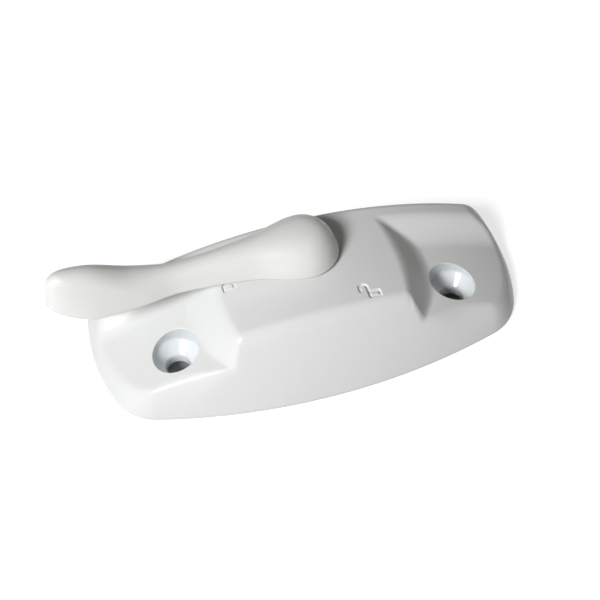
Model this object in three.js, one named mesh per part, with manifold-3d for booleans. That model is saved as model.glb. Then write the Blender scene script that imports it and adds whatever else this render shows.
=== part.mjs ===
// Sash lock with a swinging hook: a cast housing, a lever that turns from the closed to the open
// mark, and the spindle stack under it. Millimetres, +Z up, mounting plane at z = 0, +Y towards the keeper.
// Sizes are first worked out about the middle of the line of screw holes; at the end the whole
// lock is shifted so that the origin is under the middle of its bounding box.
import * as THREE from "three";
import { mergeVertices } from "three/addons/utils/BufferGeometryUtils.js";
import Module from "manifold-3d";

// Housing: plan
const holeSpacing = 52.4;
const housingLength = 81.4;
const frontReach = 12.5;
const rearReach = 17.35;
const frontRadius = 116;
const endRadius = 38;
const endCrownSetback = 10.9;
const cornerRadius = 9.5;

// Housing: height, walls and lowered pads
const housingHeight = 16.3;
const archRadius = 92;
const baseLand = 0.6;
const frontDraftDegrees = 13;
const endDraftDegrees = 24;
const wallBulgeRadius = 52;
const wallThickness = 2;
const roofThickness = 2;
const padDepth = 4.2;
const padTiltDegrees = 4;
const rampStart = 8.6;
const rampEnd = 12.8;
const stepTopX = 17;
const stepTopY = 5;
const stepTopRadius = 40;
const stepFootX = 22.3;
const stepFootY = 6;
const stepFootRadius = 19.5;

// Housing: how far edges are blended, measured in height, and the round of the rear edge
const middleEdgeBlend = 3;
const padEdgeBlend = 4.5;
const endEdgeBlend = 2.4;
const stepTopBlend = 0.9;
const stepFootBlend = 1.1;
const rampBlend = 0.7;
const rearEdgeRadius = 1.6;

// Screw holes
const screwHoleRadius = 2.3;
const countersinkRadius = 4.3;
const countersinkDepth = 2.2;
const countersinkHalfAngleDegrees = 41;
const screwBossWall = 1.6;
const screwBoreLength = 2;
const screwReliefWall = 2;

// Sunk padlock marks, each placed by the middle of its body's lower edge
const markLineWidth = 0.5;
const markDepth = 0.4;
const markBodyWidth = 1.85;
const markBodyHeight = 1.15;
const markShackleWidth = 1.4;
const markShackleHeight = 1.75;
const markShackleLift = 0.45;
const closedMarkX = -14.45;
const closedMarkY = 5.1;
const openMarkX = 9.65;
const openMarkY = -4.6;

// Pivot, spindle and bush
const pivotSetback = 8.5;
const turnDegrees = 135;
const journalRadius = 3.2;
const tailSquare = 4.4;
const headSquare = 5.6;
const headHeight = 3.2;
const bushWall = 1;
const bushFlangeRadius = 5.8;
const bushFlangeThickness = 0.9;
const pivotBossWall = 1.8;

// Lever: reach from the pivot, hub, shoulder and neck, and a grip set out from its tip
const leverReach = 46.2;
const hubRadius = 6.8;
const hubHeight = 6.4;
const hubFullnessShare = 0.04;
const shoulderDistance = 10;
const shoulderHalfWidth = 4.2;
const shoulderHeight = 5.4;
const neckDistance = 23;
const neckHalfWidth = 3.05;
const neckHeight = 4.2;
const swellFromTip = 15.8;
const swellHalfWidth = 4.05;
const swellHeight = 5.4;
const gripFromTip = 8.8;
const gripHalfWidth = 4.5;
const gripHeight = 8.4;
const crownFromTip = 4.3;
const crownHalfWidth = 4.4;
const crownHeight = 9.3;
const tipHeight = 9;
const tipRise = 2.6;
const tipLength = 9.5;
const tipLean = 1;
const tipRound = 2.2;
const tipRisePower = 1.4;
const tipBluntPower = 2;
const leverDraftDegrees = 16;

// Detent collar and leaf spring
const collarFlat = 4.2;
const collarRadius = 5.2;
const collarThickness = 2.6;
const springThickness = 0.5;
const springHeight = 1.9;
const springLength = 24;
const springLift = 0.3;
const postSize = 4.6;
const postSlotDepth = 2.8;

// Hooked cam, drawn at the locked place
const camThickness = 4;
const camReach = 15.4;
const camHubRadius = 6.2;
const hookInnerRadius = 12;
const hookTipDegrees = 50;
const throatEndDegrees = 114;
const webEndDegrees = 160;
const heelStartDegrees = 18;
const heelEndDegrees = 42;
const heelRadius = 9.4;
const stopLugStart = 0.8;
const stopLugLength = 5;
const stopLugFront = 2;
const stopLugRear = 1.6;
const stopPinRadius = 1.6;
const stopPinDistance = 10.5;

// Washers and retaining screw
const thrustWasherThickness = 0.5;
const thrustWasherRadius = 5.6;
const plainWasherThickness = 0.7;
const plainWasherRadius = 4.6;
const lockWasherThickness = 0.7;
const lockWasherRadius = 3;
const lockWasherSlit = 0.6;
const screwThreadRadius = 1.5;
const screwThreadDepth = 6;
const screwHeadRadius = 3.1;
const screwHeadHeight = 1.6;
const screwCrownRadius = 2.2;
const screwCrossWidth = 0.9;
const screwCrossLength = 3.4;
const screwCrossDepth = 0.9;

// Clearances
const seatGap = 0.1;
const runGap = 0.2;
const springGap = 0.3;
const leverGap = 0.3;
const slotGap = 0.6;
const stopGap = 0.4;
const baseClearance = 0.5;
const cutOver = 1;

// Fineness of the faceted surfaces
const alongSteps = 70;
const acrossSteps = 18;
const innerAlongSteps = 42;
const innerAcrossSteps = 12;
const roundSides = 40;
const smallSides = 32;
const leverSteps = 26;
const leverRunSteps = 4;
const hubSteps = 18;
const leverTipSteps = 9;
const leverSideSteps = 3;
const leverRoundSteps = 8;
const arcSteps = 11;
const markArcSteps = 6;
const endFlat = 2;
const mergeDistance = 1e-5;
const tipCutShare = 0.993;

// Colours
const paintWhite = 0xe9eaea;
const leverWhite = 0xebe8e1;
const acetalWhite = 0xd9d6cc;
const springSteel = 0x8d8f92;
const zincGrey = 0x9a9c9e;

const wasm = await Module();
wasm.setup();

// Solids from closed geometry
function solid(geometry) {
  const bare = new THREE.BufferGeometry();
  const source = geometry.index ? geometry.toNonIndexed() : geometry;
  bare.setAttribute("position", source.getAttribute("position").clone());
  const merged = mergeVertices(bare, mergeDistance);
  const vertProperties = new Float32Array(merged.getAttribute("position").array);
  const triVerts = new Uint32Array(merged.index.array);
  return new wasm.Manifold(new wasm.Mesh({ numProp: 3, vertProperties, triVerts }));
}

function geometryOf(manifold) {
  const mesh = manifold.getMesh();
  const geometry = new THREE.BufferGeometry();
  geometry.setAttribute("position", new THREE.BufferAttribute(new Float32Array(mesh.vertProperties), 3));
  geometry.setIndex(new THREE.BufferAttribute(new Uint32Array(mesh.triVerts), 1));
  return geometry;
}

function piece(name, manifold, color, roughness, metalness) {
  const geometry = geometryOf(manifold).toNonIndexed();
  geometry.computeVertexNormals();
  const material = new THREE.MeshStandardMaterial({ color, roughness, metalness });
  const mesh = new THREE.Mesh(geometry, material);
  mesh.name = name;
  return mesh;
}

function column(x, y, radius, low, high, sides = roundSides) {
  const geometry = new THREE.CylinderGeometry(radius, radius, high - low, sides);
  geometry.rotateX(Math.PI / 2);
  geometry.translate(x, y, (low + high) / 2);
  return solid(geometry);
}

function block(lowX, highX, lowY, highY, lowZ, highZ) {
  const geometry = new THREE.BoxGeometry(highX - lowX, highY - lowY, highZ - lowZ);
  geometry.translate((lowX + highX) / 2, (lowY + highY) / 2, (lowZ + highZ) / 2);
  return solid(geometry);
}

function squareColumn(x, y, side, low, high) {
  return block(x - side / 2, x + side / 2, y - side / 2, y + side / 2, low, high);
}

function turned(x, y, profile, sides = roundSides) {
  const points = profile.map(([radius, height]) => new THREE.Vector2(radius, height));
  const geometry = new THREE.LatheGeometry(points, sides);
  geometry.rotateX(Math.PI / 2);
  geometry.translate(x, y, 0);
  return solid(geometry);
}

function washer(outer, inner, low, high, sides = roundSides) {
  const body = column(0, pivotSetback, outer, low, high, sides);
  return body.subtract(column(0, pivotSetback, inner, low - cutOver, high + cutOver, sides));
}

// Smooth least and greatest of two heights
function smoothMin(a, b, blend) {
  const share = THREE.MathUtils.clamp(0.5 + (b - a) / (2 * blend), 0, 1);
  return b + (a - b) * share - blend * share * (1 - share);
}

function smoothMax(a, b, blend) {
  return -smoothMin(-a, -b, blend);
}

const slope = (degrees) => Math.tan(THREE.MathUtils.degToRad(degrees));

// Plan of the housing, or of its hollow when inset by the wall
function planInset(inset) {
  const plan = {
    halfLength: housingLength / 2 - inset,
    rear: rearReach - inset,
    frontRadius: frontRadius - inset,
    endRadius: endRadius - inset,
    cornerRadius: cornerRadius - inset,
    frontCentre: new THREE.Vector2(0, frontRadius - frontReach),
    endCentre: new THREE.Vector2(housingLength / 2 - endRadius, endCrownSetback),
  };
  const toEnd = plan.endCentre.clone().sub(plan.frontCentre);
  const distance = toEnd.length();
  const fromFront = plan.frontRadius - plan.cornerRadius;
  const fromEnd = plan.endRadius - plan.cornerRadius;
  const along = (fromFront ** 2 - fromEnd ** 2 + distance ** 2) / (2 * distance);
  const aside = Math.sqrt(fromFront ** 2 - along ** 2);
  const unit = toEnd.divideScalar(distance);
  const normal = new THREE.Vector2(-unit.y, unit.x);
  plan.corner = plan.frontCentre.clone().addScaledVector(unit, along).addScaledVector(normal, aside);
  plan.frontTangent = tangentPoint(plan.frontCentre, plan.corner, plan.frontRadius);
  plan.endTangent = tangentPoint(plan.endCentre, plan.corner, plan.endRadius);
  plan.frontAngle = plan.frontTangent.clone().sub(plan.corner).angle() - 2 * Math.PI;
  plan.endAngle = plan.endTangent.clone().sub(plan.corner).angle() - 2 * Math.PI;
  return plan;
}

function tangentPoint(centre, through, radius) {
  return through.clone().sub(centre).setLength(radius).add(centre);
}

function frontEdge(plan, x) {
  const ax = Math.abs(x);
  if (ax <= plan.frontTangent.x) {
    return plan.frontCentre.y - Math.sqrt(plan.frontRadius ** 2 - ax ** 2);
  }
  if (ax <= plan.endTangent.x) {
    return plan.corner.y - Math.sqrt(plan.cornerRadius ** 2 - (ax - plan.corner.x) ** 2);
  }
  return plan.endCentre.y - endHalfWidth(plan, ax);
}

function rearEdge(plan, x) {
  return Math.min(plan.rear, plan.endCentre.y + endHalfWidth(plan, Math.abs(x)));
}

function endHalfWidth(plan, ax) {
  const across = plan.endRadius ** 2 - Math.max(0, ax - plan.endCentre.x) ** 2;
  return Math.max(endFlat, Math.sqrt(Math.max(0, across)));
}

// Distance inside the drafted front and end edges, and how far round the corner that edge lies
function nearestEdge(plan, x, y) {
  const ax = Math.abs(x);
  const angle = Math.atan2(y - plan.corner.y, ax - plan.corner.x);
  if (angle > plan.frontAngle && angle < plan.endAngle) {
    const distance = plan.cornerRadius - Math.hypot(ax - plan.corner.x, y - plan.corner.y);
    return { distance, endShare: (angle - plan.frontAngle) / (plan.endAngle - plan.frontAngle) };
  }
  const fromFront = plan.frontRadius - Math.hypot(x, y - plan.frontCentre.y);
  const fromEnd = plan.endRadius - Math.hypot(ax - plan.endCentre.x, y - plan.endCentre.y);
  return { distance: Math.min(fromFront, fromEnd), endShare: fromEnd < fromFront ? 1 : 0 };
}

// Height of the drafted, slightly bulged wall: it leans more at the ends than at the front
function wallHeight(edge) {
  const ease = THREE.MathUtils.smoothstep(edge.endShare, 0, 1);
  const draft = slope(THREE.MathUtils.lerp(frontDraftDegrees, endDraftDegrees, ease));
  const bulge = 1 / (2 * wallBulgeRadius);
  const inside = Math.max(0, edge.distance);
  return baseLand + (Math.sqrt(draft ** 2 + 4 * bulge * inside) - draft) / (2 * bulge);
}

function archHeight(x) {
  return housingHeight - archRadius + Math.sqrt(archRadius ** 2 - x ** 2);
}

// How far the top lies below the arch: the two end pads, their steps and their rear ramps
function padDrop(x, y) {
  const level = padDepth - slope(padTiltDegrees) * y;
  const levelAtRamp = padDepth - slope(padTiltDegrees) * rampStart;
  const ramp = (levelAtRamp * (rampEnd - y)) / (rampEnd - rampStart);
  const floor = smoothMin(level, ramp, rampBlend);
  const topX = stepTopX - (y - stepTopY) ** 2 / (2 * stepTopRadius);
  const footX = stepFootX - (y - stepFootY) ** 2 / (2 * stepFootRadius);
  const step = (padDepth * (Math.abs(x) - topX)) / (footX - topX);
  return smoothMax(smoothMin(floor, step, stepFootBlend), 0, stepTopBlend);
}

function edgeBlend(x, drop) {
  const onPad = THREE.MathUtils.clamp(drop / padDepth, 0, 1);
  const atEnd = THREE.MathUtils.smoothstep(Math.abs(x), holeSpacing / 2, housingLength / 2);
  const padBlend = THREE.MathUtils.lerp(padEdgeBlend, endEdgeBlend, atEnd);
  return THREE.MathUtils.lerp(middleEdgeBlend, padBlend, onPad);
}

function rearRound(y) {
  const near = THREE.MathUtils.clamp(rearReach - y, 0, rearEdgeRadius);
  return rearEdgeRadius - Math.sqrt(rearEdgeRadius ** 2 - (rearEdgeRadius - near) ** 2);
}

function outerHeight(plan, x, y) {
  const drop = padDrop(x, y);
  const top = archHeight(x) - drop - rearRound(y);
  return smoothMin(top, wallHeight(nearestEdge(plan, x, y)), edgeBlend(x, drop));
}

function hollowHeight(plan, x, y) {
  const top = archHeight(x) - padDrop(x, y) - roofThickness;
  return Math.min(top, wallHeight(nearestEdge(plan, x, y)));
}

// Closed solid under a height function over a plan, down to a flat floor
function mound(plan, heightAt, floor, alongCount, acrossCount) {
  const vertices = [];
  const triangles = [];
  const at = (i, j) => i * (acrossCount + 1) + j;
  for (let i = 0; i <= alongCount; i += 1) {
    const x = plan.halfLength * Math.sin((Math.PI / 2) * ((2 * i) / alongCount - 1));
    const front = frontEdge(plan, x);
    const rear = rearEdge(plan, x);
    for (let j = 0; j <= acrossCount; j += 1) {
      const share = (1 - Math.cos((Math.PI * j) / acrossCount)) / 2;
      const y = THREE.MathUtils.lerp(front, rear, share);
      vertices.push(new THREE.Vector3(x, y, heightAt(plan, x, y)));
    }
  }
  for (let i = 0; i < alongCount; i += 1) {
    for (let j = 0; j < acrossCount; j += 1) {
      triangles.push([at(i, j), at(i + 1, j), at(i + 1, j + 1)]);
      triangles.push([at(i, j), at(i + 1, j + 1), at(i, j + 1)]);
    }
  }
  const rim = [];
  for (let i = 0; i <= alongCount; i += 1) {
    rim.push(at(i, 0));
  }
  for (let j = 1; j <= acrossCount; j += 1) {
    rim.push(at(alongCount, j));
  }
  for (let i = alongCount - 1; i >= 0; i -= 1) {
    rim.push(at(i, acrossCount));
  }
  for (let j = acrossCount - 1; j > 0; j -= 1) {
    rim.push(at(0, j));
  }
  const firstLow = vertices.length;
  for (const index of rim) {
    vertices.push(vertices[index].clone().setZ(floor));
  }
  rim.forEach((upper, k) => {
    const next = (k + 1) % rim.length;
    triangles.push([upper, firstLow + k, firstLow + next]);
    triangles.push([upper, firstLow + next, rim[next]]);
  });
  const contour = rim.map((index) => new THREE.Vector2(vertices[index].x, vertices[index].y));
  for (const [a, b, c] of THREE.ShapeUtils.triangulateShape(contour, [])) {
    triangles.push([firstLow + a, firstLow + c, firstLow + b]);
  }
  return solid(triangleGeometry(vertices, triangles));
}

function triangleGeometry(vertices, triangles) {
  const geometry = new THREE.BufferGeometry().setFromPoints(vertices);
  geometry.setIndex(triangles.flat());
  return geometry;
}

// Heights of the stack, from the mounting plane up
const screwHeadLow = baseClearance;
const lockWasherLow = screwHeadLow + screwHeadHeight + seatGap;
const plainWasherLow = lockWasherLow + lockWasherThickness + seatGap;
const camLow = plainWasherLow + plainWasherThickness + seatGap;
const collarLow = camLow + camThickness + seatGap;
const thrustWasherLow = collarLow + collarThickness + seatGap;
const pivotBossLow = thrustWasherLow + thrustWasherThickness + seatGap;
const leverSeat = housingHeight + leverGap;
const bushFlangeLow = leverSeat - seatGap - bushFlangeThickness;
const bushSeat = bushFlangeLow - seatGap;
const bushBore = journalRadius + runGap;
const bushRadius = bushBore + bushWall;
const bossBore = bushRadius + seatGap;
const postLow = camLow + camThickness + runGap;
const springLow = postLow + springLift;
const springRear = pivotSetback - collarFlat - springGap;
const springMiddle = springRear - springThickness / 2;
const screwBossRadius = countersinkRadius + screwBossWall;

function screwHoleCutter(x) {
  const padHeight = archHeight(x) - padDrop(x, 0);
  const coneTop = padHeight - countersinkDepth;
  const coneLow = coneTop - (countersinkRadius - screwHoleRadius) / slope(countersinkHalfAngleDegrees);
  const boreLow = coneLow - screwBoreLength;
  const reliefRadius = screwBossRadius - screwReliefWall;
  const profile = [
    [0, -cutOver],
    [reliefRadius, -cutOver],
    [reliefRadius, boreLow],
    [screwHoleRadius, boreLow],
    [screwHoleRadius, coneLow],
    [countersinkRadius, coneTop],
    [countersinkRadius, housingHeight + cutOver],
    [0, housingHeight + cutOver],
  ];
  return turned(x, 0, profile);
}

// Lines of a padlock mark: its body, and a shackle that stands on the body or swings out beside it
function markLines(x, y, open) {
  const left = x - markBodyWidth / 2;
  const right = x + markBodyWidth / 2;
  const top = y + markBodyHeight;
  const reach = markShackleWidth / 2;
  const middle = open ? left - reach : x;
  const crown = top + markShackleHeight - reach;
  const shackle = [[middle + reach, top]];
  for (let i = 0; i <= markArcSteps; i += 1) {
    const angle = (Math.PI * i) / markArcSteps;
    shackle.push([middle + reach * Math.cos(angle), crown + reach * Math.sin(angle)]);
  }
  shackle.push([middle - reach, open ? top + markShackleLift : top]);
  const body = [[left, y], [right, y], [right, top], [left, top], [left, y]];
  return [body, shackle];
}

function markStroke([fromX, fromY], [toX, toY]) {
  const length = Math.hypot(toX - fromX, toY - fromY) + markLineWidth;
  const middleX = (fromX + toX) / 2;
  const middleY = (fromY + toY) / 2;
  const low = outerHeight(planInset(0), middleX, middleY) - markDepth;
  const high = housingHeight + cutOver;
  const geometry = new THREE.BoxGeometry(length, markLineWidth, high - low);
  geometry.rotateZ(Math.atan2(toY - fromY, toX - fromX));
  geometry.translate(middleX, middleY, (low + high) / 2);
  return solid(geometry);
}

function markCutter(x, y, open) {
  const strokes = [];
  for (const line of markLines(x, y, open)) {
    for (let i = 1; i < line.length; i += 1) {
      strokes.push(markStroke(line[i - 1], line[i]));
    }
  }
  return wasm.Manifold.union(strokes);
}

// Post that holds one end of the leaf spring, closed at its outer end
function springPost(side) {
  const outer = springLength / 2 + springGap + postSize - postSlotDepth;
  const inner = outer - postSize;
  const lowX = side > 0 ? inner : -outer;
  const highX = side > 0 ? outer : -inner;
  const front = springMiddle - postSize / 2;
  const body = block(lowX, highX, front, front + postSize, postLow, housingHeight);
  const slotEnd = springLength / 2 + springGap;
  const slotLowX = side > 0 ? inner - cutOver : -slotEnd;
  const slotHighX = side > 0 ? slotEnd : -inner + cutOver;
  const slotFront = springRear - springThickness - springGap;
  const slotTop = springLow + springHeight + springGap;
  const slot = block(slotLowX, slotHighX, slotFront, springRear + springGap, postLow - cutOver, slotTop);
  return body.subtract(slot);
}

// Pin that the web of the cam meets at the end of the turn
function stopPin() {
  const clear = THREE.MathUtils.radToDeg(Math.asin((stopPinRadius + stopGap) / stopPinDistance));
  const angle = THREE.MathUtils.degToRad(webEndDegrees + turnDegrees + clear);
  const x = stopPinDistance * Math.cos(angle);
  const y = pivotSetback + stopPinDistance * Math.sin(angle);
  return column(x, y, stopPinRadius, camLow, housingHeight, smallSides);
}

function housing() {
  const outerPlan = planInset(0);
  const outer = mound(outerPlan, outerHeight, 0, alongSteps, acrossSteps);
  let hollow = mound(planInset(wallThickness), hollowHeight, -cutOver, innerAlongSteps, innerAcrossSteps);
  for (const x of [-holeSpacing / 2, holeSpacing / 2]) {
    hollow = hollow.subtract(column(x, 0, screwBossRadius, -2 * cutOver, housingHeight));
  }
  const bossRadius = bossBore + pivotBossWall;
  hollow = hollow.subtract(column(0, pivotSetback, bossRadius, pivotBossLow, housingHeight));
  const lugStart = camHubRadius + stopLugStart;
  const lugFront = pivotSetback - stopLugFront;
  const lugRear = pivotSetback + stopLugRear;
  const lug = block(lugStart, lugStart + stopLugLength, lugFront, lugRear, camLow, housingHeight);
  hollow = hollow.subtract(lug).subtract(stopPin());
  for (const side of [-1, 1]) {
    hollow = hollow.subtract(springPost(side));
  }
  let body = outer.subtract(hollow);
  for (const x of [-holeSpacing / 2, holeSpacing / 2]) {
    body = body.subtract(screwHoleCutter(x));
  }
  body = body.subtract(markCutter(closedMarkX, closedMarkY, false));
  body = body.subtract(markCutter(openMarkX, openMarkY, true));
  body = body.subtract(column(0, pivotSetback, bossBore, 0, housingHeight + cutOver));
  const spotRadius = bushFlangeRadius + runGap;
  body = body.subtract(column(0, pivotSetback, spotRadius, bushSeat, housingHeight + cutOver));
  const slotLeft = -camReach - slotGap;
  const slotRight = heelRadius + slotGap;
  const slotTop = camLow + camThickness + slotGap;
  const slotFront = rearReach - wallThickness - cutOver;
  return body.subtract(block(slotLeft, slotRight, slotFront, rearReach + cutOver, -cutOver, slotTop));
}

// Lever: sections set out along its reach, each a drafted bar with a fully round top
const leverStations = [
  { at: 0, halfWidth: hubRadius, height: hubHeight },
  { at: shoulderDistance, halfWidth: shoulderHalfWidth, height: shoulderHeight },
  { at: neckDistance, halfWidth: neckHalfWidth, height: neckHeight },
  { at: leverReach - swellFromTip, halfWidth: swellHalfWidth, height: swellHeight },
  { at: leverReach - gripFromTip, halfWidth: gripHalfWidth, height: gripHeight },
  { at: leverReach - crownFromTip, halfWidth: crownHalfWidth, height: crownHeight },
  { at: leverReach, halfWidth: crownHalfWidth, height: tipHeight },
];

// Slope of a value at a station, level at both ends of the lever
function stationSlope(key, index) {
  const before = leverStations[index - 1];
  const after = leverStations[index + 1];
  if (!before || !after) return 0;
  return (after[key] - before[key]) / (after.at - before.at);
}

// A value at a distance from the pivot, on a smooth curve through the stations
function stationValue(key, distance) {
  const place = THREE.MathUtils.clamp(distance, 0, leverReach);
  let i = 0;
  while (i < leverStations.length - 2 && place > leverStations[i + 1].at) i += 1;
  const from = leverStations[i];
  const to = leverStations[i + 1];
  const span = to.at - from.at;
  const t = (place - from.at) / span;
  const rise = t * t * (3 - 2 * t);
  const leave = t * (1 - t) ** 2 * span * stationSlope(key, i);
  const arrive = t * t * (t - 1) * span * stationSlope(key, i + 1);
  return THREE.MathUtils.lerp(from[key], to[key], rise) + leave + arrive;
}

// One side of a section: up the drafted side, then round to the ridge, a little fuller on the hub
function sidePoint(distance, k) {
  const halfWidth = stationValue("halfWidth", distance);
  const height = stationValue("height", distance);
  const lean = THREE.MathUtils.degToRad(leverDraftDegrees);
  const radius = (halfWidth * Math.cos(lean) - height * Math.sin(lean)) / (1 - Math.sin(lean));
  const centre = height - radius;
  const onSide = Math.min(1, k / leverSideSteps);
  const onRound = Math.max(0, (k - leverSideSteps) / leverRoundSteps);
  const angle = THREE.MathUtils.lerp(lean, Math.PI / 2, onRound);
  const onHub = 1 - THREE.MathUtils.smoothstep(distance, 0, shoulderDistance);
  const full = radius * (1 + hubFullnessShare * onHub * Math.sin(Math.PI * onRound) ** 2);
  const rise = onRound > 0 ? centre + full * Math.sin(angle) : onSide * (centre + radius * Math.sin(lean));
  const width = onRound > 0 ? full * Math.cos(angle) : halfWidth - rise * Math.tan(lean);
  return { width, rise, height, widthShare: width / halfWidth, riseShare: Math.min(1, rise / height) };
}

// Distance of a point near the tip: each height has its own rounded end in plan, and the top rounds over
function tipDistance(k, share) {
  const nominal = sidePoint(leverReach - tipLength * (1 - share), k);
  const over = THREE.MathUtils.clamp(nominal.rise - nominal.height + tipRound, 0, tipRound);
  const setback = tipLean * nominal.riseShare + tipRound - Math.sqrt(tipRound ** 2 - over ** 2);
  return leverReach - setback - tipLength * nominal.widthShare * (1 - share);
}

// Rings of the loft: the distance of each point, and how far the ring has gone round the tip
function leverRings() {
  const rings = [];
  const straight = leverReach - 2 * tipLength;
  for (let i = 0; i <= leverSteps; i += 1) {
    rings.push({ share: 0, distanceAt: () => (straight * i) / leverSteps });
  }
  for (let i = 1; i <= leverRunSteps; i += 1) {
    const run = i / leverRunSteps;
    rings.push({ share: 0, distanceAt: (k) => THREE.MathUtils.lerp(straight, tipDistance(k, 0), run) });
  }
  for (let i = 1; i <= leverTipSteps; i += 1) {
    const share = Math.sin((Math.PI / 2) * (i / leverTipSteps));
    rings.push({ share, distanceAt: (k) => tipDistance(k, share) });
  }
  return rings;
}

function leverLoft() {
  const ridge = leverSideSteps + leverRoundSteps;
  const ring = 2 * ridge + 1;
  const rings = leverRings();
  const vertices = [];
  const triangles = [];
  for (const { share, distanceAt } of rings) {
    const lift = tipRise * share ** tipRisePower;
    const narrow = (1 - (tipCutShare * share) ** tipBluntPower) ** (1 / tipBluntPower);
    for (let i = 0; i < ring; i += 1) {
      const k = Math.min(i, ring - 1 - i);
      const side = i < ridge ? -1 : 1;
      const distance = distanceAt(k);
      const point = sidePoint(distance, k);
      const y = i === ridge ? pivotSetback : pivotSetback + side * point.width * narrow;
      const z = leverSeat + point.rise + lift * (1 - point.riseShare);
      vertices.push(new THREE.Vector3(-distance, y, z));
    }
  }
  for (let i = 0; i < rings.length - 1; i += 1) {
    for (let k = 0; k < ring; k += 1) {
      const a = i * ring + k;
      const b = i * ring + ((k + 1) % ring);
      triangles.push([a, b + ring, a + ring]);
      triangles.push([a, b, b + ring]);
    }
  }
  addTipFace(triangles, (rings.length - 1) * ring, ring, ridge);
  addHubBack(vertices, triangles, ring, ridge);
  return solid(triangleGeometry(vertices, triangles));
}

function addTipFace(triangles, first, ring, ridge) {
  for (let k = 0; k < ridge; k += 1) {
    const opposite = ring - 1 - k;
    triangles.push([first + k, first + k + 1, first + opposite]);
    if (k + 1 < opposite - 1) triangles.push([first + k + 1, first + opposite - 1, first + opposite]);
  }
}

// Back of the hub: the first section turned about the pivot
function addHubBack(vertices, triangles, ring, ridge) {
  const firstBack = vertices.length;
  for (let j = 1; j < hubSteps; j += 1) {
    const angle = (Math.PI * j) / hubSteps;
    for (let k = 0; k < ridge; k += 1) {
      const { width, rise } = sidePoint(0, k);
      const y = pivotSetback - width * Math.cos(angle);
      vertices.push(new THREE.Vector3(width * Math.sin(angle), y, leverSeat + rise));
    }
  }
  const at = (j, k) => {
    if (k === ridge) return ridge;
    if (j === 0) return k;
    if (j === hubSteps) return ring - 1 - k;
    return firstBack + (j - 1) * ridge + k;
  };
  for (let j = 0; j < hubSteps; j += 1) {
    for (let k = 0; k < ridge; k += 1) {
      triangles.push([at(j, k + 1), at(j, k), at(j + 1, k)]);
      if (k + 1 < ridge) triangles.push([at(j, k + 1), at(j + 1, k), at(j + 1, k + 1)]);
    }
    if (j > 0) triangles.push([at(0, 0), at(j + 1, 0), at(j, 0)]);
  }
}

function lever() {
  const socket = headSquare + 2 * seatGap;
  const socketTop = leverSeat + headHeight + seatGap;
  return leverLoft().subtract(squareColumn(0, pivotSetback, socket, leverSeat - cutOver, socketTop));
}

function spindle() {
  const tailLow = camLow + seatGap;
  const journalLow = collarLow + collarThickness + seatGap;
  const tail = squareColumn(0, pivotSetback, tailSquare, tailLow, journalLow);
  const journal = column(0, pivotSetback, journalRadius, journalLow, leverSeat);
  const head = squareColumn(0, pivotSetback, headSquare, leverSeat, leverSeat + headHeight);
  const holeTop = tailLow + screwThreadDepth + seatGap;
  const hole = column(0, pivotSetback, screwThreadRadius + seatGap, tailLow - cutOver, holeTop, smallSides);
  return tail.add(journal).add(head).subtract(hole);
}

function pivotBush() {
  const sleeve = column(0, pivotSetback, bushRadius, pivotBossLow, bushFlangeLow + bushFlangeThickness);
  const flangeHigh = bushFlangeLow + bushFlangeThickness;
  const flange = column(0, pivotSetback, bushFlangeRadius, bushFlangeLow, flangeHigh);
  const bore = column(0, pivotSetback, bushBore, pivotBossLow - cutOver, leverSeat + cutOver);
  return sleeve.add(flange).subtract(bore);
}

// Round collar with a flat for each end of the turn: the spring lies along it there
function detentCollar() {
  const high = collarLow + collarThickness;
  const round = column(0, pivotSetback, collarRadius, collarLow, high);
  const bore = squareColumn(0, pivotSetback, tailSquare + 2 * seatGap, collarLow - cutOver, high + cutOver);
  return round.subtract(bore).subtract(flatCutter(0)).subtract(flatCutter(-turnDegrees));
}

function flatCutter(degrees) {
  const depth = collarRadius + cutOver - collarFlat;
  const geometry = new THREE.BoxGeometry(2 * collarRadius, depth, collarThickness + 2 * cutOver);
  geometry.translate(0, -collarFlat - depth / 2, collarLow + collarThickness / 2);
  geometry.rotateZ(THREE.MathUtils.degToRad(degrees));
  geometry.translate(0, pivotSetback, 0);
  return solid(geometry);
}

function detentSpring() {
  const half = springLength / 2;
  return block(-half, half, springRear - springThickness, springRear, springLow, springLow + springHeight);
}

// Cam outline about the pivot: hub, stop heel, throat for the keeper's lip, hook and web
function camOutline() {
  const points = [];
  const fullTurn = 360;
  const arc = (radius, fromDegrees, toDegrees) => {
    for (let i = 0; i <= arcSteps; i += 1) {
      const angle = THREE.MathUtils.degToRad(THREE.MathUtils.lerp(fromDegrees, toDegrees, i / arcSteps));
      points.push(new THREE.Vector2(radius * Math.cos(angle), radius * Math.sin(angle)));
    }
  };
  arc(camHubRadius, webEndDegrees, fullTurn + heelStartDegrees);
  arc(heelRadius, heelStartDegrees, heelEndDegrees);
  arc(camHubRadius, heelEndDegrees, throatEndDegrees);
  arc(hookInnerRadius, throatEndDegrees, hookTipDegrees);
  arc(camReach, hookTipDegrees, webEndDegrees);
  return new THREE.Shape(points);
}

function cam() {
  const geometry = new THREE.ExtrudeGeometry(camOutline(), { depth: camThickness, bevelEnabled: false });
  geometry.translate(0, pivotSetback, camLow);
  const high = camLow + camThickness;
  const bore = squareColumn(0, pivotSetback, tailSquare + 2 * seatGap, camLow - cutOver, high + cutOver);
  return solid(geometry).subtract(bore);
}

function thrustWasher() {
  const high = thrustWasherLow + thrustWasherThickness;
  return washer(thrustWasherRadius, journalRadius + runGap, thrustWasherLow, high);
}

function plainWasher() {
  const high = plainWasherLow + plainWasherThickness;
  return washer(plainWasherRadius, screwThreadRadius + runGap, plainWasherLow, high, smallSides);
}

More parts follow.
